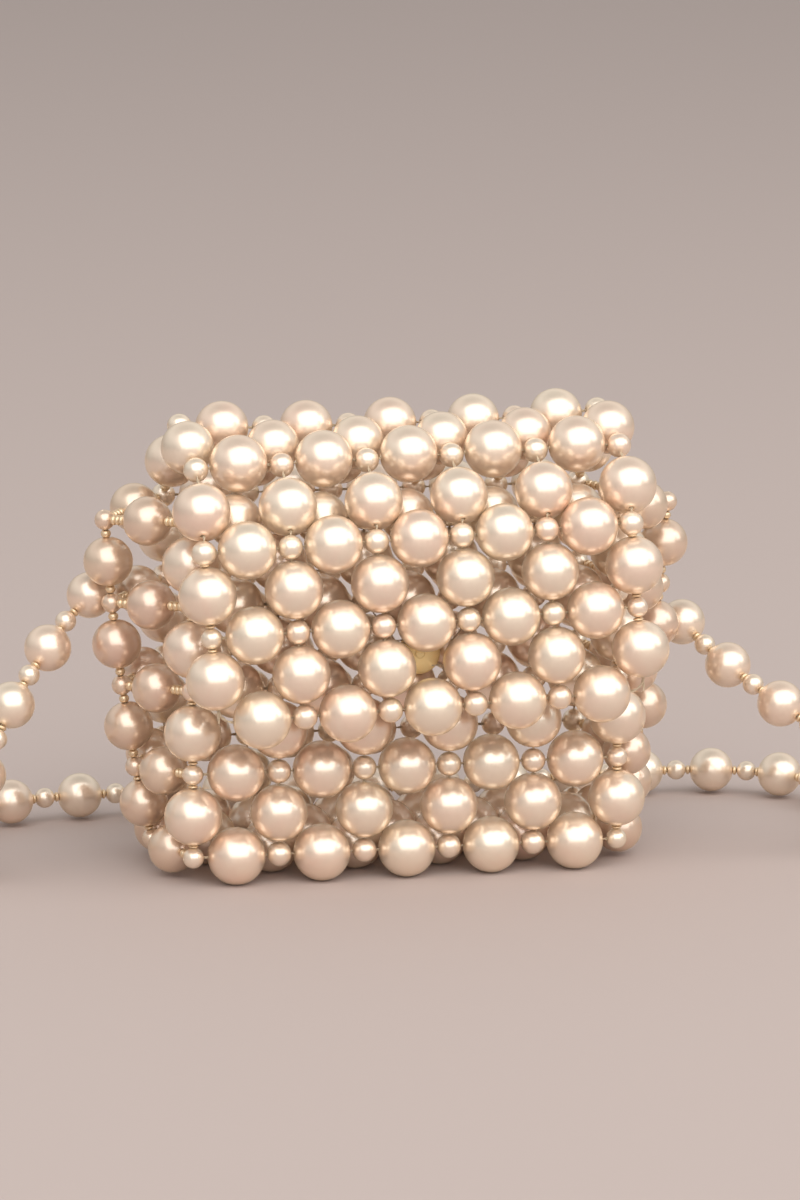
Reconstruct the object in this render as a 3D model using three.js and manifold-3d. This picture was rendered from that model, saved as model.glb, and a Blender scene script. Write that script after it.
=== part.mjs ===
// A small box bag woven from round beads in right-angle weave.
// Millimetres, +Z up, the flap side faces -Y. The origin is the point on the ground below the middle
// bottom bead.
//
// Each square cell of the weave has a large bead on each side and a small bead at each corner.
// A course is one woven row: a straight strand of large and small beads, with the beads that stand
// on it towards the next row. The thread of a course stops just short of the next row's beads.
import * as THREE from 'three';
import { mergeVertices } from 'three/addons/utils/BufferGeometryUtils.js';
import Module from 'manifold-3d';

const wasm = await Module();
wasm.setup();

// Beads, by diameter
const LARGE = 14;
const TOP_LARGE = 13;
const SIDE_LARGE = 12;
const SMALL = 6;
const SIDE_SMALL = 5;
const STRAP_LARGE = 11.4;
const THREAD = 1.8;
const GAP = 0.3;

// The weave of the body
const COLUMNS = 5;
const ROWS = 4;
const PITCH = 21;
const ROW_HEIGHT = 20.5;
const HALF_DEPTH = 22.8;
const BACK_LEAN = 0.75;

// The gussets bulge outwards, and their middle column hangs a little lower
const BULGE = 6.6;
const BULGE_PER_ROW = 4.42;
const BULGE_SLOWING = 0.414;
const SAG = 2.2;

// The flap: a roof course leans in from the back rim to the ridge, a top course runs forward to the
// fold, and three courses hang down the front
const FLAP_PITCH = 20.75;
const RIDGE = { y: -2.4, z: 109.6 };
const FOLD = { y: -20.6, z: 103.3 };
const BROW = { y: -37.6, z: 85.6 };
const HANG_FORWARD = 0.5;
const HANG_HEIGHT = 20.4;
const HANGING_ROWS = 3;
const RIDGE_TILT = THREE.MathUtils.degToRad(0.6);
const FOLD_TILT = THREE.MathUtils.degToRad(1.6);
const FLAP_TILT = THREE.MathUtils.degToRad(2.1);
const FLAP_SHIFT = [0.9, 0, 1.6, 3.2];
const BROW_BOW = new THREE.Vector3(0, -2.75, 0.2);

// The magnetic snap between the flap and the front panel
const SNAP_RADIUS = 5;
const SNAP_PLATE = 1.35;
const SNAP = { x: 1.3, y: -30.9, z: 56.6 };
const STUD = { radius: 1.5, height: 0.8 };
const MAGNET = { inner: 1.8, outer: 3.2, height: 0.7 };
const SNAP_EDGE = 0.4;
const SNAP_SIDES = 24;
// The magnet's play inside the cup's recess
const PLAY = 0.15;

// The strap's route from the left gusset, down to the ground, behind the bag and up to the right one
const STRAP_ROUTE = [
  [-71.4, 6.6, 68.0],
  [-73.4, 5.9, 66.4],
  [-79.6, 2.4, 61.0],
  [-84.8, -3.2, 55.6],
  [-90.2, -8.6, 50.0],
  [-95.0, -13.2, 44.0],
  [-99.0, -16.6, 36.6],
  [-102.6, -17.8, 28.2],
  [-105.8, -16.2, 19.8],
  [-108.6, -11.4, 12.6],
  [-110.6, -3.4, 7.9],
  [-111.6, 7.6, 6.1],
  [-111.0, 20.0, 5.9],
  [-107.2, 33.0, 5.9],
  [-99.0, 44.4, 5.9],
  [-86.0, 52.0, 5.9],
  [-66.0, 55.6, 5.9],
  [-40.0, 54.2, 5.9],
  [-12.0, 50.2, 5.9],
  [18.0, 48.6, 5.9],
  [48.0, 51.0, 5.9],
  [76.0, 54.4, 5.9],
  [97.0, 52.8, 5.9],
  [111.6, 45.2, 5.9],
  [120.6, 32.4, 5.9],
  [124.4, 17.4, 5.9],
  [125.2, 2.0, 6.0],
  [124.0, -11.6, 8.2],
  [120.4, -21.8, 13.6],
  [114.6, -28.0, 20.6],
  [107.6, -29.8, 27.6],
  [100.6, -27.2, 33.6],
  [93.8, -21.0, 38.8],
  [88.8, -14.2, 42.4],
  [84.2, -6.8, 46.2],
  [80.2, 0.8, 50.2],
  [76.6, 7.0, 54.4],
];
const STRAP_END_LEFT = { at: [-70.2, 7.1, 69.1], diameter: 2.6 };
const STRAP_END_RIGHT = { at: [75.0, 9.2, 56.2], diameter: 5 };
const STRAP_STEPS = 30;
const STRAP_SIDES = 8;

// Faceted beads: their sides, how far their corners stand out past the round bead, and the share of
// the diameter that is a straight band
const ROW_SIDES = 8;
const UPRIGHT_SIDES = 6;
const CORNER = 1.04;
const BAND = 0.4;
// A link starts this deep inside its small bead, and thread barer than the long neck is drawn straight
const SUNK = 0.6;
const LONG_NECK = 1.6;
// The height of the bottom beads' middles: they rest on a facet
const FOOT = LARGE / 2 * CORNER * Math.cos(Math.PI / ROW_SIDES);

const pearl = (colour) => new THREE.MeshStandardMaterial({ color: colour, roughness: 0.22, metalness: 0.1 });
const frontPearl = pearl(0xf3e4cf);
const sidePearl = pearl(0xeed9c6);
const strapPearl = pearl(0xf0dfca);
const brass = new THREE.MeshStandardMaterial({ color: 0xd9a441, roughness: 0.3, metalness: 1 });
const magnet = new THREE.MeshStandardMaterial({ color: 0x8f9296, roughness: 0.4, metalness: 1 });

// Geometry and solids

function solidOf(geometry) {
  geometry.deleteAttribute('normal');
  geometry.deleteAttribute('uv');
  const merged = mergeVertices(geometry, 1e-4);
  return new wasm.Manifold(new wasm.Mesh({
    numProp: 3,
    vertProperties: new Float32Array(merged.attributes.position.array),
    triVerts: new Uint32Array(merged.index.array),
  }));
}

function geometryOf(solid) {
  const mesh = solid.getMesh();
  const geometry = new THREE.BufferGeometry();
  geometry.setAttribute('position', new THREE.BufferAttribute(mesh.vertProperties, 3));
  geometry.setIndex(new THREE.BufferAttribute(mesh.triVerts, 1));
  const flat = geometry.toNonIndexed();
  flat.computeVertexNormals();
  return flat;
}

// A profile turned about an axis that starts at one point and runs along a direction.
function turned(points, sides, start, direction) {
  const profile = points.map(([radius, along]) => new THREE.Vector2(radius, along));
  const geometry = new THREE.LatheGeometry(profile, sides, Math.PI / sides);
  const axis = direction.clone().normalize();
  geometry.applyQuaternion(new THREE.Quaternion().setFromUnitVectors(new THREE.Vector3(0, 1, 0), axis));
  geometry.translate(start.x, start.y, start.z);
  return solidOf(geometry);
}

// A large bead is a band with a cone on each side.
function largeRings(diameter, middle) {
  const radius = diameter / 2 * CORNER;
  return [[radius, middle - BAND * diameter / 2], [radius, middle + BAND * diameter / 2]];
}

// The straight strand of a row, along X about its middle: small, large, small ... small.
function rowStrand(pitch, large, columns) {
  const rings = [];
  const width = columns * pitch;
  const neck = SMALL / 2 + (pitch - large - SMALL) / 4;
  for (let column = 0; column <= columns; column += 1) {
    const at = column * pitch - width / 2;
    if (column === 0) rings.push([0, at - SMALL / 2]);
    rings.push([SMALL / 2 * CORNER, at]);
    if (column === columns) rings.push([0, at + SMALL / 2]);
    if (column < columns) {
      rings.push([THREAD / 2, at + neck]);
      rings.push(...largeRings(large, at + pitch / 2));
      rings.push([THREAD / 2, at + pitch - neck]);
    }
  }
  return turned(rings, ROW_SIDES, new THREE.Vector3(), new THREE.Vector3(1, 0, 0));
}

// One large bead on the thread from a small bead at start, stopping short of the bead at the far end.
// A bowed link leans out of the straight line and ends just past its large bead.
function link(start, reach, large, startSmall, endSmall, bow) {
  const direction = bow ? reach.clone().multiplyScalar(0.5).add(bow) : reach;
  const middle = bow ? direction.length() : reach.length() / 2;
  const near = startSmall / 2 - SUNK;
  const far = bow ? middle + large / 2 : reach.length() - endSmall / 2 - GAP;
  const rings = [[0, near], [THREAD / 2, near]];
  const bareThread = middle - large / 2 - near > LONG_NECK;
  if (bareThread) rings.push([THREAD / 2, middle - large / 2]);
  rings.push(...largeRings(large, middle));
  if (bareThread && !bow) rings.push([THREAD / 2, middle + large / 2]);
  rings.push([THREAD / 2, far], [0, far]);
  return turned(rings, UPRIGHT_SIDES, start, direction);
}

function union(solids) {
  return solids.reduce((sum, solid) => sum.add(solid));
}

function node(name, solid, material, place = new THREE.Vector3()) {
  const mesh = new THREE.Mesh(geometryOf(solid), material);
  mesh.name = name;
  mesh.position.copy(place);
  return mesh;
}

// A row with the beads that stand on each of its small beads; each reach is one such direction.
function course(name, place, shape) {
  const { pitch = PITCH, large = LARGE, standing = large } = shape;
  const solids = [rowStrand(pitch, large, COLUMNS)];
  for (const reach of shape.reaches ?? []) {
    for (let column = 0; column <= COLUMNS; column += 1) {
      const start = new THREE.Vector3((column - COLUMNS / 2) * pitch, 0, 0);
      solids.push(link(start, reach, standing, SMALL, SMALL, shape.bow));
    }
  }
  return node(name, union(solids), frontPearl, place);
}

// Where things are

const rowZ = (row) => FOOT + ROW_HEIGHT * row;
const backY = (row) => HALF_DEPTH - BACK_LEAN * row;
const bulge = (row) => BULGE + BULGE_PER_ROW * row - BULGE_SLOWING * row * row;
const sag = (row) => SAG * (1 - (1 - Math.min(row, 1)) ** 2);

function gussetCorner(side, row) {
  return new THREE.Vector3(
    side * (COLUMNS * PITCH / 2 + bulge(row)),
    (backY(row) - HALF_DEPTH) / 2,
    rowZ(row) - sag(row),
  );
}

function flapRow(row) {
  if (row === 0) return new THREE.Vector3(FLAP_SHIFT[0], FOLD.y, FOLD.z);
  const down = row - 1;
  return new THREE.Vector3(FLAP_SHIFT[row], BROW.y - HANG_FORWARD * down, BROW.z - HANG_HEIGHT * down);
}

// Panels

function frontPanel() {
  const group = new THREE.Group();
  for (let row = 0; row <= ROWS; row += 1) {
    const reaches = row < ROWS ? [new THREE.Vector3(0, 0, ROW_HEIGHT)] : [];
    const name = row < ROWS ? `front_course_${row + 1}` : 'front_rim';
    const place = new THREE.Vector3(0, -HALF_DEPTH, rowZ(row));
    group.add(course(name, place, { reaches, large: row < ROWS ? LARGE : TOP_LARGE }));
  }
  return group;
}

function backPanel() {
  const group = new THREE.Group();
  for (let row = 0; row <= ROWS; row += 1) {
    const reaches = row < ROWS ? [new THREE.Vector3(0, -BACK_LEAN, ROW_HEIGHT)] : [];
    const name = row < ROWS ? `back_course_${row + 1}` : 'back_rim';
    const place = new THREE.Vector3(0, backY(row), rowZ(row));
    group.add(course(name, place, { reaches, large: TOP_LARGE }));
  }
  return group;
}

// The middle row of the bottom runs from one gusset to the other; the gussets close the bottom's ends.
function bottomPanel() {
  const place = new THREE.Vector3(0, 0, FOOT);
  const columns = COLUMNS - 2;
  const solids = [rowStrand(PITCH, LARGE, columns)];
  for (let column = 0; column <= columns; column += 1) {
    const start = new THREE.Vector3((column - columns / 2) * PITCH, 0, 0);
    for (const way of [-1, 1]) {
      solids.push(link(start, new THREE.Vector3(0, way * HALF_DEPTH, 0), LARGE, SMALL, SMALL));
    }
  }
  for (const side of [-1, 1]) {
    const start = new THREE.Vector3(side * columns * PITCH / 2, 0, 0);
    const reach = gussetCorner(side, 0).sub(place).sub(start);
    solids.push(link(start, reach, LARGE, SMALL, SIDE_SMALL));
  }
  return node('bottom_course', union(solids), frontPearl, place);
}

// One row of a gusset: a small bead in the middle, a large one towards each panel, and one above.
function gussetCourse(side, row) {
  const middle = gussetCorner(side, row);
  const front = new THREE.Vector3(side * COLUMNS * PITCH / 2, -HALF_DEPTH, rowZ(row)).sub(middle);
  const back = new THREE.Vector3(side * COLUMNS * PITCH / 2, backY(row), rowZ(row)).sub(middle);
  const start = new THREE.Vector3();
  const solids = [
    solidOf(new THREE.IcosahedronGeometry(SIDE_SMALL / 2, 1)),
    link(start, front, SIDE_LARGE, SIDE_SMALL, SMALL),
    link(start, back, SIDE_LARGE, SIDE_SMALL, SMALL),
  ];
  if (row < ROWS) {
    const above = gussetCorner(side, row + 1).sub(middle);
    solids.push(link(start, above, SIDE_LARGE, SIDE_SMALL, SIDE_SMALL));
  }
  const hand = side < 0 ? 'left' : 'right';
  const name = row < ROWS ? `${hand}_gusset_course_${row + 1}` : `${hand}_gusset_rim`;
  return node(name, union(solids), sidePearl, middle);
}

function gusset(side) {
  const group = new THREE.Group();
  for (let row = 0; row <= ROWS; row += 1) {
    group.add(gussetCourse(side, row));
  }
  return group;
}

// Flap

function tiltedCourse(name, place, tilt, shape) {
  const mesh = course(name, place, { pitch: FLAP_PITCH, ...shape });
  mesh.rotation.y = -tilt;
  return mesh;
}

function flapTop() {
  const group = new THREE.Group();
  const ridge = new THREE.Vector3(0, RIDGE.y, RIDGE.z);
  const backRim = new THREE.Vector3(0, backY(ROWS), rowZ(ROWS));
  const fold = flapRow(0);
  group.add(tiltedCourse('flap_roof_course', ridge, RIDGE_TILT, {
    large: TOP_LARGE,
    reaches: [backRim.sub(ridge)],
  }));
  group.add(tiltedCourse('flap_top_course', fold, FOLD_TILT, {
    standing: TOP_LARGE,
    reaches: [ridge.clone().sub(fold)],
  }));
  return group;
}

function flapFront() {
  const group = new THREE.Group();
  for (let row = 1; row <= HANGING_ROWS; row += 1) {
    const place = flapRow(row);
    const reach = flapRow(row - 1).sub(place);
    const bow = row === 1 ? BROW_BOW : undefined;
    group.add(tiltedCourse(`flap_front_course_${row}`, place, FLAP_TILT, { reaches: [reach], bow }));
  }
  return group;
}

// Magnetic snap: a plate with a stud on the flap, a cup with a ring magnet on the body

function snapPart(name, profile, material, y) {
  const solid = turned(profile, SNAP_SIDES, new THREE.Vector3(), new THREE.Vector3(0, 1, 0));
  return node(name, solid, material, new THREE.Vector3(SNAP.x, y, SNAP.z));
}

function snapStud() {
  const profile = [
    [0, -SNAP_PLATE],
    [SNAP_RADIUS - SNAP_EDGE, -SNAP_PLATE],
    [SNAP_RADIUS, -SNAP_PLATE + SNAP_EDGE],
    [SNAP_RADIUS, 0],
    [STUD.radius, 0],
    [STUD.radius, STUD.height],
    [0, STUD.height],
  ];
  return snapPart('snap_stud', profile, brass, SNAP.y - GAP / 2);
}

function snapCup() {
  const recess = MAGNET.outer + PLAY;
  const floor = MAGNET.height + 2 * PLAY;
  const profile = [
    [0, floor],
    [recess, floor],
    [recess, 0],
    [SNAP_RADIUS, 0],
    [SNAP_RADIUS, SNAP_PLATE - SNAP_EDGE],
    [SNAP_RADIUS - SNAP_EDGE, SNAP_PLATE],
    [0, SNAP_PLATE],
  ];
  return snapPart('snap_cup', profile, brass, SNAP.y + GAP / 2);
}

function snapMagnet() {
  const profile = [
    [MAGNET.inner, 0],
    [MAGNET.outer, 0],
    [MAGNET.outer, MAGNET.height],
    [MAGNET.inner, MAGNET.height],
    [MAGNET.inner, 0],
  ];
  return snapPart('snap_magnet', profile, magnet, SNAP.y + GAP / 2 + PLAY);
}

// Strap

function strap() {
  const route = new THREE.CatmullRomCurve3(STRAP_ROUTE.map((point) => new THREE.Vector3(...point)));
  const section = new THREE.Shape();
  for (let side = 0; side < STRAP_SIDES; side += 1) {
    const angle = 2 * Math.PI * side / STRAP_SIDES;
    const x = STRAP_LARGE / 2 * Math.cos(angle);
    const y = STRAP_LARGE / 2 * Math.sin(angle);
    if (side === 0) section.moveTo(x, y);
    else section.lineTo(x, y);
  }
  section.closePath();
  const geometry = new THREE.ExtrudeGeometry(section, { steps: STRAP_STEPS, extrudePath: route });
  return node('bead_strap', solidOf(geometry), strapPearl);
}

// The first bead on each end of the strap's cord, next to the gusset.
function strapEnd(hand, end) {
  const geometry = new THREE.IcosahedronGeometry(end.diameter / 2, 1);
  return node(`strap_end_bead_${hand}`, solidOf(geometry), sidePearl, new THREE.Vector3(...end.at));
}

const bag = new THREE.Group();
bag.add(frontPanel());
bag.add(backPanel());
bag.add(bottomPanel());
bag.add(gusset(-1));
bag.add(gusset(1));
bag.add(flapTop());
bag.add(flapFront());
bag.add(snapStud());
bag.add(snapCup());
bag.add(snapMagnet());
bag.add(strap());
bag.add(strapEnd('left', STRAP_END_LEFT));
bag.add(strapEnd('right', STRAP_END_RIGHT));

export default bag;
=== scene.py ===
import math
import random
from collections import namedtuple

import bpy
import numpy as np
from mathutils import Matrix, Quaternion, Vector


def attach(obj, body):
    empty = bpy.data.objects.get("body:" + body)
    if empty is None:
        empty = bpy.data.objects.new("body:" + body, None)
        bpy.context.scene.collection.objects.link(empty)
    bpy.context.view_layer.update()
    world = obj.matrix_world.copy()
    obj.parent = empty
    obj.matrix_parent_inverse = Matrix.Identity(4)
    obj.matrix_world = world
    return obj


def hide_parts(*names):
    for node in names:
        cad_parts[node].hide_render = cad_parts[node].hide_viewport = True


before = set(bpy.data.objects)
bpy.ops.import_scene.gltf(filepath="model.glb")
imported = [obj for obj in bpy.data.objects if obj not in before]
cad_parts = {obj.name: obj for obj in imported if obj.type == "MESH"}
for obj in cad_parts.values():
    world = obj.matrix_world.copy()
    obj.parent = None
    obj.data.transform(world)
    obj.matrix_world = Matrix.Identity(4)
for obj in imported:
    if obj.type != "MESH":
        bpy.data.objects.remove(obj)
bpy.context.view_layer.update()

# A small box bag woven from imitation pearls in right-angle weave, with a flap, a magnetic snap and a
# strap of pearls. Lengths are in millimetres, in the CAD's frame, and become metres in each mesh. Only
# the camera, the stage and the material's bumps are given in metres.

MM = 0.001
random.seed(7)

# Beads, by diameter
LARGE = 14.0
TOP_LARGE = 13.0
SIDE_LARGE = 12.0
SMALL = 6.0
EDGE_SMALL = 5.1
SIDE_SMALL = 5.0
STRAP_LARGE = 11.4
STRAP_SMALL = 5.2
SEED = 2.5
SEED_LENGTH = 1.5
SHORTEST_SEED = 0.5
SEED_OVERLAP = 1.02

# A bore's share of its bead's radius, and how much wider its mouth is
LARGE_BORE = 0.075
SMALL_BORE = 0.17
SEED_BORE = 0.38
MOUTH = 1.5

# How much one bead differs from the next, and how far the small beads lean towards the lighter ivory paint,
# which is painted light
LEAN_DEGREES = 1.4
SIZES = (0.988, 1.004)
TONE_SPREAD = 0.16
SMALL_PAINTED_LIGHT = -0.2

# Thread, by the thickness of one strand
THREAD = 0.36
STITCH = 0.22
STRAP_THREAD = 0.5

# The weave of the body
COLUMNS = 5
ROWS = 4
PITCH = 21.0
ROW_HEIGHT = 20.5
HALF_DEPTH = 22.8
BACK_LEAN = 0.75
FACET_SWELL = 1.04
FOOT = LARGE / 2 * FACET_SWELL * math.cos(math.pi / 8)
BULGE = 6.6
BULGE_PER_ROW = 4.42
BULGE_SLOWING = 0.414
SAG = 2.2
GUSSET_BEAD_LEAN = 0.2

# The flap
FLAP_PITCH = 20.75
RIDGE = Vector((0.0, -2.4, 109.6))
RIDGE_SAG = 1.4
FOLD = Vector((0.0, -20.6, 103.3))
BROW = Vector((0.0, -37.6, 85.6))
HANG_FORWARD = 0.5
HANG_HEIGHT = 20.4
HANGING_ROWS = 3
RIDGE_TILT = math.radians(0.6)
FOLD_TILT = math.radians(1.6)
FLAP_TILT = math.radians(2.1)
FLAP_SHIFT = [0.9, 0.0, 1.6, 3.2]
BROW_BOW = Vector((0.0, -2.75, 0.2))
FOLD_DROOP = Vector((0.0, -0.6, -0.8))
CORNER_IN = 3.6
CORNER_UP = 3.4
CORNER_STEPS = 8

# The snap
SNAP = Vector((1.3, -30.9, 56.6))
SNAP_PLATE = 1.35
SNAP_GAP = 0.3
SNAP_SIDES = 48
SNAP_RADIUS = 5.0
SNAP_CHAMFER = 0.15
SNAP_CENTRE = 0.3
STUD_RADIUS = 1.5
STUD_HEIGHT = 0.8
STUD_BEVEL = 0.2
SOCKET_RADIUS = 3.35
SOCKET_DEPTH = 1.0
SOCKET_BEVEL = 0.12
SNAP_HOLES = 4.1
HOLE_RADIUS = 0.36
HOLE_SIDES = 16
HOLES = [(1, 1), (-1, 1), (-1, -1), (1, -1)]
DRILL_REACH = 2.5

# How far the snap's stitches run past a hole, sideways and off the plate
STITCH_EDGE = 2.6
STITCH_TURN = 5.4
HOLE_LIFT = 0.15
EDGE_LIFT = 0.05

# The stud half's rivet head and the pressed edge of both halves: radius, and depth below the outermost point
RIVET = [(1.0, 0.0), (1.2, 0.18)]
SNAP_EDGE = [(SNAP_RADIUS - 0.7, 0.12), (SNAP_RADIUS - 0.25, 0.28), (SNAP_RADIUS, 0.6)]

# The strap's route, from the left gusset to the right one
STRAP_ROUTE = [
    (-71.4, 6.6, 68.0), (-73.4, 5.9, 66.4), (-79.6, 2.4, 61.0), (-84.8, -3.2, 55.6),
    (-90.2, -8.6, 50.0), (-95.0, -13.2, 44.0), (-99.0, -16.6, 36.6), (-102.6, -17.8, 28.2),
    (-105.8, -16.2, 19.8), (-108.6, -11.4, 12.6), (-110.6, -3.4, 7.9), (-111.6, 7.6, 6.1),
    (-111.0, 20.0, 5.9), (-107.2, 33.0, 5.9), (-99.0, 44.4, 5.9), (-86.0, 52.0, 5.9),
    (-66.0, 55.6, 5.9), (-40.0, 54.2, 5.9), (-12.0, 50.2, 5.9), (18.0, 48.6, 5.9),
    (48.0, 51.0, 5.9), (76.0, 54.4, 5.9), (97.0, 52.8, 5.9), (111.6, 45.2, 5.9),
    (120.6, 32.4, 5.9), (124.4, 17.4, 5.9), (125.2, 2.0, 6.0), (124.0, -11.6, 8.2),
    (120.4, -21.8, 13.6), (114.6, -28.0, 20.6), (107.6, -29.8, 27.6), (100.6, -27.2, 33.6),
    (93.8, -21.0, 38.8), (88.8, -14.2, 42.4), (84.2, -6.8, 46.2), (80.2, 0.8, 50.2),
    (76.6, 7.0, 54.4),
]
STRAP_FIRST = 2.0
STRAP_REPEATS = 27
STRAP_LOOP = 1.8
STRAP_ROW_LEFT = 3
STRAP_ROW_RIGHT = 2

# The route's close points to a step of the list above, and to a point of the cord and of the thread
ROUTE_STEPS = 24
THREAD_STEPS = 12

# The camera, in metres: the way from its aim back to it, and the aim's height and small shift in view
CAMERA_WAY = Vector((-0.1975, -0.9638, 0.1791))
CAMERA_DISTANCE = 1.203
CAMERA_LENS = 146.8
AIM_HEIGHT = 0.059
AIM_RIGHT = 0.00295
AIM_UP = 0.0049

# The stage, in metres
FLOOR_RADIUS = 9.0
FLOOR_SIDES = 96
FLOOR_HEIGHT = -0.0003
LIGHTS_AIM = Vector((0, 0, 0.06))


# Camera

def make_camera():
    back = CAMERA_WAY.normalized()
    right = Vector((0, 0, 1)).cross(back).normalized()
    up = back.cross(right)
    aim = Vector((0, 0, AIM_HEIGHT)) + right * AIM_RIGHT + up * AIM_UP
    data = bpy.data.cameras.new("camera")
    data.lens = CAMERA_LENS
    data.sensor_fit = "VERTICAL"
    data.sensor_height = 36
    data.sensor_width = 36
    data.clip_end = 50
    camera = bpy.data.objects.new("camera", data)
    camera.location = aim + back * CAMERA_DISTANCE
    camera.rotation_mode = "QUATERNION"
    camera.rotation_quaternion = (-back).to_track_quat("-Z", "Y")
    bpy.context.scene.collection.objects.link(camera)
    bpy.context.scene.camera = camera


# Materials

def nodes_of(name):
    material = bpy.data.materials.new(name)
    material.use_nodes = True
    tree = material.node_tree
    shader = tree.nodes["Principled BSDF"]
    return material, tree, shader


def node(tree, kind, inputs=None, **settings):
    made = tree.nodes.new(kind)
    for key, value in settings.items():
        setattr(made, key, value)
    for key, value in (inputs or {}).items():
        if isinstance(value, bpy.types.NodeSocket):
            tree.links.new(value, made.inputs[key])
        else:
            made.inputs[key].default_value = value
    return made


def noise(tree, scale, detail=3.0, roughness=0.5, distortion=0.0):
    place = node(tree, "ShaderNodeTexCoord").outputs["Object"]
    return node(tree, "ShaderNodeTexNoise", {
        "Vector": place, "Scale": scale, "Detail": detail, "Roughness": roughness,
        "Distortion": distortion,
    }).outputs["Fac"]


def spread(tree, value, low, high):
    """The middle of a noise's range, stretched from low to high."""
    return node(tree, "ShaderNodeMapRange", {
        "Value": value, "From Min": 0.3, "From Max": 0.7, "To Min": low, "To Max": high,
    }).outputs["Result"]


def blend_colour(tree, factor, one, two):
    return node(tree, "ShaderNodeMix", {0: factor, 6: one, 7: two}, data_type="RGBA").outputs[2]


def attribute(tree, name):
    return node(tree, "ShaderNodeAttribute", attribute_name=name).outputs["Fac"]


# Pearl paint over a plastic bead: layers of mica lacquer that are never quite even, under a clear coat
def pearl_material(name, ivory, rose, core):
    material, tree, shader = nodes_of(name)
    drift = spread(tree, noise(tree, scale=95.0, detail=4.0, roughness=0.55, distortion=0.6), 0.0, 0.55)
    tone = attribute(tree, "tone")
    mixing = node(tree, "ShaderNodeMath", {0: drift, 1: tone}, operation="ADD", use_clamp=True)
    paint = blend_colour(tree, mixing.outputs[0], ivory, rose)
    cloud = spread(tree, noise(tree, scale=300.0, detail=4.0, roughness=0.55, distortion=1.0), 0.0, 0.07)
    paint = blend_colour(tree, cloud, paint, core)
    worn = attribute(tree, "worn")
    tree.links.new(blend_colour(tree, worn, paint, core), shader.inputs["Base Color"])
    swell = noise(tree, scale=210.0, detail=2.0)
    bump = node(tree, "ShaderNodeBump", {"Height": swell, "Strength": 0.3, "Distance": 0.00012})
    tree.links.new(bump.outputs[0], shader.inputs["Normal"])
    shader.inputs["Roughness"].default_value = 0.34
    shader.inputs["Metallic"].default_value = 0.65
    shader.inputs["IOR"].default_value = 1.6
    shader.inputs["Specular Tint"].default_value = (1.0, 0.84, 0.60, 1.0)
    shader.inputs["Coat Weight"].default_value = 1.0
    shader.inputs["Coat Roughness"].default_value = 0.17
    shader.inputs["Coat IOR"].default_value = 2.0
    shader.inputs["Coat Tint"].default_value = (1.0, 0.945, 0.85, 1.0)
    shader.inputs["Sheen Weight"].default_value = 0.3
    shader.inputs["Sheen Roughness"].default_value = 0.35
    shader.inputs["Sheen Tint"].default_value = (1.0, 0.80, 0.52, 1.0)
    return material


def thread_material():
    material, tree, shader = nodes_of("nylon_thread")
    shade = spread(tree, noise(tree, scale=700.0, detail=2.0), 0.0, 1.0)
    colour = blend_colour(tree, shade, (0.66, 0.54, 0.38, 1), (0.54, 0.42, 0.28, 1))
    tree.links.new(colour, shader.inputs["Base Color"])
    fibres = node(tree, "ShaderNodeTexWave", {
        "Vector": node(tree, "ShaderNodeTexCoord").outputs["Object"],
        "Scale": 1400.0, "Distortion": 3.0, "Detail": 2.0,
    })
    bump = node(tree, "ShaderNodeBump", {
        "Height": fibres.outputs["Fac"], "Strength": 0.3, "Distance": 0.00005,
    })
    tree.links.new(bump.outputs[0], shader.inputs["Normal"])
    shader.inputs["Roughness"].default_value = 0.42
    shader.inputs["Sheen Weight"].default_value = 0.3
    return material


def metal_material(name, bright, dull, rough, ring_scale, metallic):
    material, tree, shader = nodes_of(name)
    tarnish = spread(tree, noise(tree, scale=500.0, detail=5.0, roughness=0.65), 0.0, 0.7)
    tree.links.new(blend_colour(tree, tarnish, bright, dull), shader.inputs["Base Color"])
    scuffs = spread(tree, noise(tree, scale=1500.0), rough, rough + 0.14)
    tree.links.new(scuffs, shader.inputs["Roughness"])
    place = node(tree, "ShaderNodeTexCoord").outputs["Object"]
    centred = node(tree, "ShaderNodeVectorMath", {0: place, 1: tuple(SNAP * MM)}, operation="SUBTRACT")
    turning = node(tree, "ShaderNodeTexWave", {
        "Vector": centred.outputs[0], "Scale": ring_scale, "Distortion": 0.4,
    }, wave_type="RINGS", rings_direction="Y")
    bump = node(tree, "ShaderNodeBump", {
        "Height": turning.outputs["Fac"], "Strength": 0.12, "Distance": 0.00002,
    })
    tree.links.new(bump.outputs[0], shader.inputs["Normal"])
    shader.inputs["Metallic"].default_value = metallic
    return material


# Beads

# A seed bead also has its own length along the thread
Bead = namedtuple("Bead", "centre axis diameter length", defaults=[None])


def bead_profile(bore, rings):
    """Rings (radius, height, worn) of a bead of radius 1 about Z, round the outside and back up the bore."""
    edge = math.asin(MOUTH * bore)
    mouth = math.cos(edge)
    outside = []
    for ring in range(rings + 1):
        angle = edge + (math.pi - 2 * edge) * ring / rings
        outside.append((math.sin(angle), math.cos(angle), 0.0))
    rim = (bore * 1.12, mouth - 0.12 * bore, 0.55)
    throat = (bore, mouth - 0.6 * bore, 1.0)
    inside = (bore, 0.1, 1.0)
    top = [rim, throat, inside]
    bottom = [(radius, -height, worn) for radius, height, worn in top]
    return outside + bottom + top[::-1]


def bead_shape(bore, rings, sides):
    profile = bead_profile(bore, rings)
    points, worn = [], []
    for radius, height, wear in profile:
        for side in range(sides):
            angle = 2 * math.pi * side / sides
            points.append((radius * math.cos(angle), radius * math.sin(angle), height))
            worn.append(wear)
    faces = []
    count = len(profile)
    for ring in range(count):
        after = (ring + 1) % count
        for side in range(sides):
            turn = (side + 1) % sides
            faces.append((ring * sides + side, after * sides + side,
                          after * sides + turn, ring * sides + turn))
    return np.array(points), np.array(faces), np.array(worn)


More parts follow.
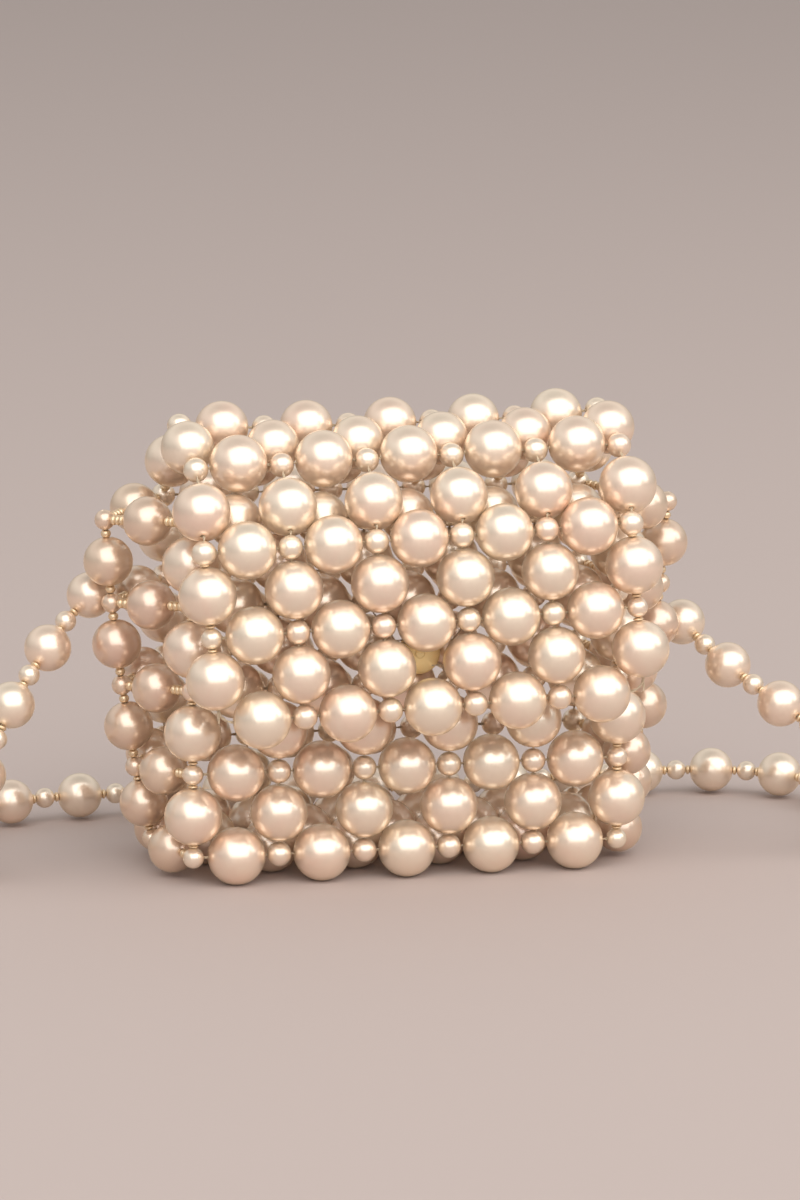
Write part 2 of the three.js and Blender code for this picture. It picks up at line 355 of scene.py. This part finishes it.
SHAPES = {
    "large": bead_shape(LARGE_BORE, rings=20, sides=36),
    "small": bead_shape(SMALL_BORE, rings=12, sides=22),
    "seed": bead_shape(SEED_BORE, rings=7, sides=14),
}


def shape_of(bead):
    if bead.length:
        return "seed"
    return "small" if bead.diameter <= SMALL else "large"


def beads_mesh(name, beads, seed_material=0):
    """One mesh of all the beads. Seeded draws turn, size and tone each a little differently."""
    points, faces, worn, tone, numbers = [], [], [], [], []
    start = 0
    for bead in beads:
        shape = shape_of(bead)
        unit, quads, wear = SHAPES[shape]
        spin = Quaternion((0, 0, 1), random.uniform(0, 2 * math.pi))
        lean = Quaternion(Vector((random.gauss(0, 1), random.gauss(0, 1), 0)).normalized(),
                          math.radians(random.gauss(0, LEAN_DEGREES)))
        turn = bead.axis.normalized().to_track_quat("Z", "Y") @ lean @ spin
        matrix = np.array(turn.to_matrix())
        size = np.full(3, bead.diameter / 2 * random.uniform(*SIZES))
        if bead.length:
            size[2] = bead.length / 2 / math.cos(math.asin(MOUTH * SEED_BORE))
        centre = np.array(bead.centre)
        points.append((unit * size) @ matrix.T + centre)
        faces.append(quads + start)
        worn.append(wear)
        # Small beads are painted lighter than large beads of the same paint: painted light
        usual = SMALL_PAINTED_LIGHT if shape == "small" else 0.0
        tone.append(np.full(len(unit), random.gauss(usual, TONE_SPREAD)))
        numbers.append(np.full(len(quads), seed_material if bead.length else 0))
        start += len(unit)
    mesh = bpy.data.meshes.new(name)
    mesh.from_pydata(np.concatenate(points) * MM, [], np.concatenate(faces).tolist())
    mesh.shade_smooth()
    mesh.polygons.foreach_set("material_index", np.concatenate(numbers))
    for label, values in (("worn", worn), ("tone", tone)):
        layer = mesh.attributes.new(label, "FLOAT", "POINT")
        layer.data.foreach_set("value", np.concatenate(values).astype(np.float32))
    return mesh


def piece(name, data, material, body, stands_for=()):
    """One piece of the object: what it rides and the CAD nodes that it stands for."""
    made = bpy.data.objects.new(name, data)
    bpy.context.scene.collection.objects.link(made)
    data.materials.append(material)
    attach(made, body)
    if stands_for:
        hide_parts(*stands_for)
    return made


# Threads: two nylon strands twisted round each other along each path

def twisted(path, thickness, turn_length=5.0, step=0.9):
    points = [Vector(point) for point in path]
    lengths = [(after - before).length for before, after in zip(points, points[1:])]
    strands = ([], [])
    travelled = 0.0
    for before, after, length in zip(points, points[1:], lengths):
        way = (after - before).normalized()
        side = way.orthogonal().normalized()
        other = way.cross(side)
        count = max(2, math.ceil(length / step))
        for index in range(count + (after is points[-1])):
            distance = length * index / count
            angle = 2 * math.pi * (travelled + distance) / turn_length
            offset = (side * math.cos(angle) + other * math.sin(angle)) * thickness / 2
            strands[0].append(before + way * distance + offset)
            strands[1].append(before + way * distance - offset)
        travelled += length
    return strands


def thread_curve(name, paths, thickness=THREAD):
    curve = bpy.data.curves.new(name, "CURVE")
    curve.dimensions = "3D"
    curve.bevel_depth = thickness / 2 * MM
    curve.bevel_resolution = 1
    curve.use_fill_caps = True
    for path in paths:
        for strand in twisted(path, thickness):
            spline = curve.splines.new("POLY")
            spline.points.add(len(strand) - 1)
            flat = [value for point in strand for value in (*(point * MM), 1.0)]
            spline.points.foreach_set("co", flat)
    return curve


# Where things are

def row_z(row):
    return FOOT + ROW_HEIGHT * row


def back_y(row):
    return HALF_DEPTH - BACK_LEAN * row


def gusset_corner(side, row):
    bulge = BULGE + BULGE_PER_ROW * row - BULGE_SLOWING * row * row
    sag = SAG if row else 0.0
    return Vector((side * (COLUMNS * PITCH / 2 + bulge), (back_y(row) - HALF_DEPTH) / 2, row_z(row) - sag))


def flap_row(row):
    if row == 0:
        return FOLD + Vector((FLAP_SHIFT[0], 0, 0))
    down = row - 1
    return Vector((FLAP_SHIFT[row], BROW.y - HANG_FORWARD * down, BROW.z - HANG_HEIGHT * down))


def tilted(place, tilt):
    """A function that puts a course's own point where it is: turned by the tilt about Y, then moved."""
    turn = Quaternion((0, 1, 0), -tilt)
    return lambda point: turn @ Vector(point) + place


def moved(place):
    return lambda point: Vector(point) + place


# Courses

def row_beads(put, pitch, large, columns, edges, droop=Vector()):
    """The beads of one strand; edges says whether its end beads are the smaller kind."""
    beads = []
    axis = put((1, 0, 0)) - put((0, 0, 0))
    for column in range(columns + 1):
        at = (column - columns / 2) * pitch
        small = EDGE_SMALL if edges and column in (0, columns) else SMALL
        beads.append(Bead(put((at, 0, 0)) + droop, axis, small))
        if column < columns:
            beads.append(Bead(put((at + pitch / 2, 0, 0)), axis, large))
    return beads


def linked_bead(start, end, large, bow=None):
    middle = (start + end) / 2
    if bow:
        middle = middle + bow
    return Bead(middle, end - start, large)


def seeds_between(small, small_diameter, large):
    """Seed beads that fill the gap between a small bead's centre and a large bead."""
    way = large.centre - small
    gap = way.length - small_diameter / 2 - large.diameter / 2
    direction = way.normalized()
    count = max(1, round(gap / SEED_LENGTH))
    each = gap / count
    length = max(SHORTEST_SEED, each * SEED_OVERLAP)
    places = [small_diameter / 2 + each * (index + 0.5) for index in range(count)]
    return [Bead(small + direction * place, direction, SEED, length) for place in places]


class Panel:
    """What one part of the bag is made of: its courses' beads, its seed beads and its threads."""

    def __init__(self, name, body, slot):
        self.name, self.body, self.slot = name, body, slot
        self.courses, self.seeds, self.paths = [], [], []

    def make(self, materials):
        for node_name, beads in self.courses:
            mesh = beads_mesh(f"{node_name}_pearls", beads)
            piece(f"{node_name}_pearls", mesh, materials[self.slot], self.body, [node_name])
        if self.seeds:
            mesh = beads_mesh(f"{self.name}_seed_beads", self.seeds)
            piece(f"{self.name}_seed_beads", mesh, materials["seed"], self.body)
        thread = thread_curve(f"{self.name}_thread", self.paths)
        piece(f"{self.name}_thread", thread, materials["thread"], self.body)


def sagging(put, width, sag):
    """The same places, let down towards the middle of the width."""
    def lower(point):
        share = min(1.0, abs(2 * point[0] / width))
        return put(point) - Vector((0, 0, sag * (1 - share ** 4)))
    return lower


def crossings(put, pitch, droop=Vector()):
    """Where the small beads of a strand are."""
    return [put(((column - COLUMNS / 2) * pitch, 0, 0)) + droop for column in range(COLUMNS + 1)]


def add_course(panel, name, put, next_row, shape, edges=True, bow=None, droop=Vector(),
               skip_corners=False, filled=False):
    """A strand and the beads that stand on it, towards the small beads of the next row, if there is one.

    The shape is the pitch, the diameter of the strand's large beads and that of the standing ones. Edges
    says whether the strand ends in the smaller kind of small bead, with seed beads beside the standing
    beads there. Filled puts seed beads beside every standing bead.
    """
    pitch, large, standing = shape
    beads = row_beads(put, pitch, large, COLUMNS, edges, droop)
    if skip_corners:
        beads = beads[1:-1]
    else:
        panel.paths.append([bead.centre for bead in beads])
    for column, (start, end) in enumerate(zip(crossings(put, pitch, droop), next_row or [])):
        upright = linked_bead(start, end, standing, bow)
        hole = upright.axis.normalized() * standing / 2
        beads.append(upright)
        panel.paths.append([start, upright.centre - hole, upright.centre + hole, end])
        if filled:
            panel.seeds.extend(seeds_between(start, SMALL, upright) + seeds_between(end, SMALL, upright))
        elif edges and column in (0, COLUMNS):
            if not skip_corners:
                panel.seeds.extend(seeds_between(start, EDGE_SMALL, upright))
            panel.seeds.extend(seeds_between(end, EDGE_SMALL, upright))
    panel.courses.append((name, beads))


def front_row(row):
    return moved(Vector((0, -HALF_DEPTH, row_z(row))))


def back_row(row):
    return moved(Vector((0, back_y(row), row_z(row))))


def front_panel():
    panel = Panel("front_panel", "bag_body", "front_pearl")
    for row in range(ROWS):
        add_course(panel, f"front_course_{row + 1}", front_row(row), crossings(front_row(row + 1), PITCH),
                   (PITCH, LARGE, LARGE))
    add_course(panel, "front_rim", front_row(ROWS), None, (PITCH, TOP_LARGE, TOP_LARGE))
    return panel


def back_panel():
    panel = Panel("back_panel", "bag_body", "front_pearl")
    for row in range(ROWS):
        add_course(panel, f"back_course_{row + 1}", back_row(row), crossings(back_row(row + 1), PITCH),
                   (PITCH, TOP_LARGE, TOP_LARGE), edges=False)
    add_course(panel, "back_rim", back_row(ROWS), None, (PITCH, TOP_LARGE, TOP_LARGE), edges=False)
    return panel


def bottom_panel():
    panel = Panel("bottom_panel", "bag_body", "front_pearl")
    columns = COLUMNS - 2
    put = moved(Vector((0, 0, FOOT)))
    beads = row_beads(put, PITCH, LARGE, columns, False)
    ends = [gusset_corner(-1, 0), gusset_corner(1, 0)]
    half = columns * PITCH / 2
    panel.paths.append([ends[0], put((-half, 0, 0)), put((half, 0, 0)), ends[1]])
    for side, end in zip((-1, 1), ends):
        start = put((side * half, 0, 0))
        bead = linked_bead(start, end, LARGE)
        beads.append(bead)
        panel.seeds.extend(seeds_between(start, SMALL, bead))
        panel.seeds.extend(seeds_between(end, SIDE_SMALL, bead))
    for column in range(columns + 1):
        at = (column - columns / 2) * PITCH
        for way in (-1, 1):
            start, end = put((at, 0, 0)), put((at, way * HALF_DEPTH, 0))
            bead = linked_bead(start, end, LARGE)
            beads.append(bead)
            panel.paths.append([start, end])
            panel.seeds.extend(seeds_between(start, SMALL, bead))
            panel.seeds.extend(seeds_between(end, SMALL, bead))
    panel.courses.append(("bottom_course", beads))
    return panel


def gusset(side):
    hand = "left" if side < 0 else "right"
    # The gussets' pearls take the darker side paint, which is painted shade
    panel = Panel(f"{hand}_gusset", "bag_body", "side_pearl")
    for row in range(ROWS + 1):
        middle = gusset_corner(side, row)
        front = Vector((side * COLUMNS * PITCH / 2, -HALF_DEPTH, row_z(row)))
        back = Vector((side * COLUMNS * PITCH / 2, back_y(row), row_z(row)))
        ends = [(front, EDGE_SMALL), (back, SMALL)]
        if row < ROWS:
            ends.append((gusset_corner(side, row + 1), SIDE_SMALL))
        beads = [Bead(middle, Vector((side * GUSSET_BEAD_LEAN, 0, 1)), SIDE_SMALL)]
        for end, small in ends:
            bead = linked_bead(middle, end, SIDE_LARGE)
            beads.append(bead)
            panel.seeds.extend(seeds_between(middle, SIDE_SMALL, bead))
            panel.seeds.extend(seeds_between(end, small, bead))
            panel.paths.append([middle, end])
        name = f"{hand}_gusset_rim" if row == ROWS else f"{hand}_gusset_course_{row + 1}"
        panel.courses.append((name, beads))
    return panel


def flap_strand(row):
    return tilted(flap_row(row), FOLD_TILT if row == 0 else FLAP_TILT)


def flap_top():
    panel = Panel("flap_top", "flap_top", "front_pearl")
    ridge = sagging(tilted(RIDGE, RIDGE_TILT), COLUMNS * FLAP_PITCH, RIDGE_SAG)
    add_course(panel, "flap_roof_course", ridge, crossings(back_row(ROWS), PITCH),
               (FLAP_PITCH, TOP_LARGE, TOP_LARGE), edges=False, filled=True)
    add_course(panel, "flap_top_course", flap_strand(0), crossings(ridge, FLAP_PITCH),
               (FLAP_PITCH, LARGE, TOP_LARGE), edges=False, droop=FOLD_DROOP)
    return panel


def flap_front():
    panel = Panel("flap_front", "flap_front", "front_pearl")
    for row in range(1, HANGING_ROWS + 1):
        above = crossings(flap_strand(row - 1), FLAP_PITCH, FOLD_DROOP if row == 1 else Vector())
        add_course(panel, f"flap_front_course_{row}", flap_strand(row), above,
                   (FLAP_PITCH, LARGE, LARGE), edges=row > 1, bow=BROW_BOW if row == 1 else None,
                   skip_corners=row == HANGING_ROWS)
    put = flap_strand(HANGING_ROWS)
    half = COLUMNS * FLAP_PITCH / 2
    inner = half - FLAP_PITCH / 2
    panel.paths.append([put((-inner, 0, 0)), put((inner, 0, 0))])
    for side in (-1, 1):
        corner = []
        for step in range(CORNER_STEPS + 1):
            angle = math.pi / 2 * step / CORNER_STEPS
            across = half - CORNER_IN * (1 - math.sin(angle))
            corner.append(put((side * across, 0, CORNER_UP * (1 - math.cos(angle)))))
        panel.paths.append([put((side * inner, 0, 0)), *corner])
    return panel


# Snap

def turned(profile, sides, centre):
    """A closed profile of (radius, y) turned about the Y axis through a centre."""
    points, faces = [], []
    for radius, depth in profile:
        for side in range(sides):
            angle = 2 * math.pi * side / sides
            point = Vector((radius * math.cos(angle), depth, radius * math.sin(angle)))
            points.append((centre + point) * MM)
    count = len(profile)
    for ring in range(count - 1):
        for side in range(sides):
            turn = (side + 1) % sides
            faces.append((ring * sides + side, ring * sides + turn,
                          (ring + 1) * sides + turn, (ring + 1) * sides + side))
    faces.append(tuple(range(sides))[::-1])
    faces.append(tuple((count - 1) * sides + side for side in range(sides)))
    mesh = bpy.data.meshes.new("turned")
    mesh.from_pydata(points, [], faces)
    mesh.shade_smooth()
    return mesh


def hole_place(side, way, y):
    """The middle of one of the four sewing holes, at a depth of y."""
    off = SNAP_HOLES * math.sqrt(0.5)
    return Vector((SNAP.x + side * off, y, SNAP.z + way * off))


def sewing_holes(made, y):
    """Cuts four holes through the plate near its edge, for the thread."""
    drills = []
    for side, way in HOLES:
        profile = [(HOLE_RADIUS, -DRILL_REACH), (HOLE_RADIUS, DRILL_REACH)]
        data = turned(profile, HOLE_SIDES, hole_place(side, way, y))
        drill = bpy.data.objects.new("drill", data)
        drills.append(drill)
        bpy.context.scene.collection.objects.link(drill)
        cut = made.modifiers.new("hole", "BOOLEAN")
        cut.operation = "DIFFERENCE"
        cut.solver = "EXACT"
        cut.object = drill
    bpy.context.view_layer.update()
    applied = bpy.data.meshes.new_from_object(made.evaluated_get(bpy.context.evaluated_depsgraph_get()))
    made.modifiers.clear()
    made.data = applied
    applied.set_sharp_from_angle(angle=math.radians(30))
    for drill in drills:
        bpy.data.objects.remove(drill)


def snap_parts(materials):
    front = SNAP + Vector((0, -SNAP_GAP / 2, 0))
    stud = [(radius, depth - SNAP_PLATE) for radius, depth in RIVET + SNAP_EDGE]
    stud += [(SNAP_RADIUS, -SNAP_CHAMFER), (SNAP_RADIUS - SNAP_CHAMFER, 0.0), (STUD_RADIUS, 0.0),
             (STUD_RADIUS, STUD_HEIGHT - STUD_BEVEL), (STUD_RADIUS - STUD_BEVEL, STUD_HEIGHT),
             (SNAP_CENTRE, STUD_HEIGHT)]
    made = piece("snap_stud_half", turned(stud, SNAP_SIDES, front), materials["brass"],
                 "flap_front", ["snap_stud"])
    sewing_holes(made, front.y)
    back = SNAP + Vector((0, SNAP_GAP / 2, 0))
    cup = [(SNAP_CENTRE, SOCKET_DEPTH), (SOCKET_RADIUS, SOCKET_DEPTH), (SOCKET_RADIUS, SOCKET_BEVEL),
           (SOCKET_RADIUS + SNAP_CHAMFER, 0.0), (SNAP_RADIUS - SNAP_CHAMFER, 0.0),
           (SNAP_RADIUS, SNAP_CHAMFER)]
    cup += [(radius, SNAP_PLATE - depth) for radius, depth in SNAP_EDGE[::-1]]
    cup += [(SNAP_CENTRE, SNAP_PLATE)]
    made = piece("snap_cup_half", turned(cup, SNAP_SIDES, back), materials["brass"],
                 "bag_body", ["snap_cup"])
    sewing_holes(made, back.y)
    stitches(materials)


def stitches(materials):
    """Thread from each half's holes, behind the bead beside it, to the small beads at its cell's corners."""
    flap_paths, body_paths = [], []
    reach = SNAP_GAP / 2 + SNAP_PLATE
    for side, way in HOLES:
        hole = hole_place(side, way, SNAP.y)
        edge = hole + Vector((side * STITCH_EDGE, 0, 0))
        turn = hole + Vector((side * STITCH_TURN, 0, 0))
        corner = flap_strand(2 if way > 0 else 3)((side * FLAP_PITCH / 2, 0, 0))
        flap_paths.append([hole + Vector((0, -SNAP_GAP, 0)), hole + Vector((0, -reach - HOLE_LIFT, 0)),
                           edge + Vector((0, -reach - EDGE_LIFT, 0)), turn, corner])
        corner = front_row(3 if way > 0 else 2)((side * PITCH / 2, 0, 0))
        body_paths.append([hole + Vector((0, SNAP_GAP, 0)), hole + Vector((0, reach + HOLE_LIFT, 0)),
                           edge + Vector((0, reach + EDGE_LIFT, 0)), corner])
    piece("snap_stud_stitches", thread_curve("snap_stud_stitches", flap_paths, STITCH),
          materials["thread"], "flap_front")
    piece("snap_cup_stitches", thread_curve("snap_cup_stitches", body_paths, STITCH),
          materials["thread"], "bag_body")


# Strap

def smooth_route(points, steps):
    """A Catmull-Rom curve through the points, as many close points."""
    knots = [Vector(point) for point in points]
    knots = [2 * knots[0] - knots[1], *knots, 2 * knots[-1] - knots[-2]]
    curve = []
    for index in range(1, len(knots) - 2):
        a, b, c, d = knots[index - 1:index + 3]
        for step in range(steps):
            t = step / steps
            curve.append(0.5 * (2 * b + (c - a) * t + (2 * a - 5 * b + 4 * c - d) * t ** 2
                                + (3 * b - a - 3 * c + d) * t ** 3))
    curve.append(knots[-2])
    return curve


def along(curve, lengths, distance):
    """The point and the direction at a distance along the curve."""
    index = int(np.searchsorted(lengths, distance, side="right")) - 1
    index = max(0, min(index, len(curve) - 2))
    way = curve[index + 1] - curve[index]
    return curve[index] + way.normalized() * (distance - lengths[index]), way.normalized()


def end_tie(corner, bead, way):
    """The thread from a gusset's small bead, round into the end bead's bore."""
    mouth = bead.centre + way * bead.diameter / 2
    return [corner, mouth + way * STRAP_LOOP, mouth, bead.centre]


def strap_beads(curve, lengths):
    """Large and small pearls in turn along the curve, and the seed beads between them."""
    repeat = (lengths[-1] - STRAP_FIRST) / STRAP_REPEATS
    beads, seeds = [], []
    for index in range(STRAP_REPEATS + 1):
        at = STRAP_FIRST + repeat * index
        large = Bead(*along(curve, lengths, at), STRAP_LARGE)
        beads.append(large)
        if index < STRAP_REPEATS:
            small = Bead(*along(curve, lengths, at + repeat / 2), STRAP_SMALL)
            following = Bead(*along(curve, lengths, at + repeat), STRAP_LARGE)
            beads.append(small)
            seeds.extend(seeds_between(small.centre, STRAP_SMALL, large))
            seeds.extend(seeds_between(small.centre, STRAP_SMALL, following))
    return beads, seeds


def strap(materials):
    """The strap's beads and the seed beads that tie it on; returns the paths of its thread."""
    curve = smooth_route(STRAP_ROUTE, ROUTE_STEPS)
    steps = [(after - before).length for before, after in zip(curve, curve[1:])]
    lengths = [0.0, *np.cumsum(steps).tolist()]
    beads, seeds = strap_beads(curve, lengths)
    mesh = beads_mesh("bead_strap_pearls", beads + seeds, seed_material=1)
    made = piece("bead_strap_pearls", mesh, materials["strap_pearl"], "bag_body",
                 ["bead_strap", "strap_end_bead_left", "strap_end_bead_right"])
    mesh.materials.append(materials["seed"])
    left = end_tie(gusset_corner(-1, STRAP_ROW_LEFT), beads[0], -beads[0].axis)
    right = end_tie(gusset_corner(1, STRAP_ROW_RIGHT), beads[-1], beads[-1].axis)
    corner, loop = right[:2]
    tie = seeds_between(corner, SIDE_SMALL, Bead(loop, beads[-1].axis, 0.0))
    piece("strap_tie_seed_beads", beads_mesh("strap_tie_seed_beads", tie), materials["seed"],
          "bag_body")
    return [[*curve[::THREAD_STEPS], curve[-1]], left, right]


# Stage

def stage():
    points, faces = [(0, 0, 0)], []
    for side in range(FLOOR_SIDES):
        angle = 2 * math.pi * side / FLOOR_SIDES
        points.append((FLOOR_RADIUS * math.cos(angle), FLOOR_RADIUS * math.sin(angle), 0))
        faces.append((0, side + 1, (side + 1) % FLOOR_SIDES + 1))
    mesh = bpy.data.meshes.new("floor")
    mesh.from_pydata(points, [], faces)
    floor = bpy.data.objects.new("floor", mesh)
    floor.location.z = FLOOR_HEIGHT
    bpy.context.scene.collection.objects.link(floor)
    material, _, shader = nodes_of("floor")
    shader.inputs["Base Color"].default_value = (0.54, 0.455, 0.425, 1)
    shader.inputs["Roughness"].default_value = 0.75
    shader.inputs["Specular IOR Level"].default_value = 0.2
    mesh.materials.append(material)


def area_light(name, direction, distance, size, power, colour):
    data = bpy.data.lights.new(name, "AREA")
    data.shape = "RECTANGLE"
    data.size, data.size_y = size
    data.energy = power
    data.color = colour
    light = bpy.data.objects.new(name, data)
    way = Vector(direction).normalized()
    light.location = LIGHTS_AIM + way * distance
    light.rotation_mode = "QUATERNION"
    light.rotation_quaternion = (-way).to_track_quat("-Z", "Y")
    bpy.context.scene.collection.objects.link(light)


def lights():
    """A soft dome, brightest halfway up, a large front softbox and a side one."""
    world = bpy.data.worlds.new("studio")
    bpy.context.scene.world = world
    world.use_nodes = True
    tree = world.node_tree
    way = node(tree, "ShaderNodeTexCoord").outputs["Generated"]
    height = node(tree, "ShaderNodeSeparateXYZ", {0: way}).outputs["Z"]
    rising = node(tree, "ShaderNodeMapRange", {
        "Value": height, "From Min": 0.0, "From Max": 0.55, "To Min": 0.32, "To Max": 0.78,
    }).outputs["Result"]
    fading = node(tree, "ShaderNodeMapRange", {
        "Value": height, "From Min": 0.6, "From Max": 1.0, "To Min": 1.0, "To Max": 0.45,
    }).outputs["Result"]
    dome = node(tree, "ShaderNodeMath", {0: rising, 1: fading}, operation="MULTIPLY").outputs[0]
    background = tree.nodes["Background"]
    background.inputs["Color"].default_value = (1.0, 0.98, 0.96, 1)
    tree.links.new(dome, background.inputs["Strength"])
    area_light("key", direction=(0.04, -0.73, 0.68), distance=3.0, size=(5.5, 4.4), power=114,
               colour=(1.0, 0.98, 0.96))
    area_light("right", direction=(0.9, -0.35, 0.5), distance=1.6, size=(0.6, 0.8), power=2.5,
               colour=(1.0, 0.97, 0.94))
    bpy.context.scene.view_settings.view_transform = "Standard"


# Everything

make_camera()
materials = {
    "front_pearl": pearl_material("pearl_front", ivory=(0.95, 0.86, 0.77, 1), rose=(0.95, 0.72, 0.64, 1),
                                  core=(0.92, 0.80, 0.64, 1)),
    # The gussets' paint is the front paint made darker and rosier: painted shade for the sides that turn
    # away from the key light
    "side_pearl": pearl_material("pearl_side_painted_shade", ivory=(0.84, 0.69, 0.58, 1), rose=(0.79, 0.57, 0.50, 1),
                                 core=(0.88, 0.76, 0.62, 1)),
    "strap_pearl": pearl_material("pearl_strap", ivory=(0.94, 0.85, 0.76, 1), rose=(0.94, 0.72, 0.64, 1),
                                  core=(0.90, 0.79, 0.64, 1)),
    "seed": pearl_material("seed_bead", ivory=(0.88, 0.72, 0.50, 1), rose=(0.84, 0.64, 0.42, 1),
                           core=(0.80, 0.66, 0.46, 1)),
    "thread": thread_material(),
    "brass": metal_material("snap_brass", bright=(1.0, 0.80, 0.42, 1), dull=(1.0, 0.74, 0.34, 1),
                            rough=0.4, ring_scale=500.0, metallic=0.4),
    "magnet": metal_material("snap_magnet", bright=(0.60, 0.60, 0.62, 1), dull=(0.42, 0.42, 0.44, 1),
                             rough=0.3, ring_scale=1400.0, metallic=1.0),
}
strap_paths = strap(materials)
panels = [front_panel(), back_panel(), bottom_panel(), gusset(-1), gusset(1), flap_top(), flap_front()]
for panel in panels:
    panel.make(materials)
snap_parts(materials)
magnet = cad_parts["snap_magnet"]
magnet.data.materials.clear()
magnet.data.materials.append(materials["magnet"])
piece("strap_thread", thread_curve("strap_thread", strap_paths, STRAP_THREAD), materials["thread"],
      "bag_body")
stage()
lights()

bpy.context.view_layer.update()
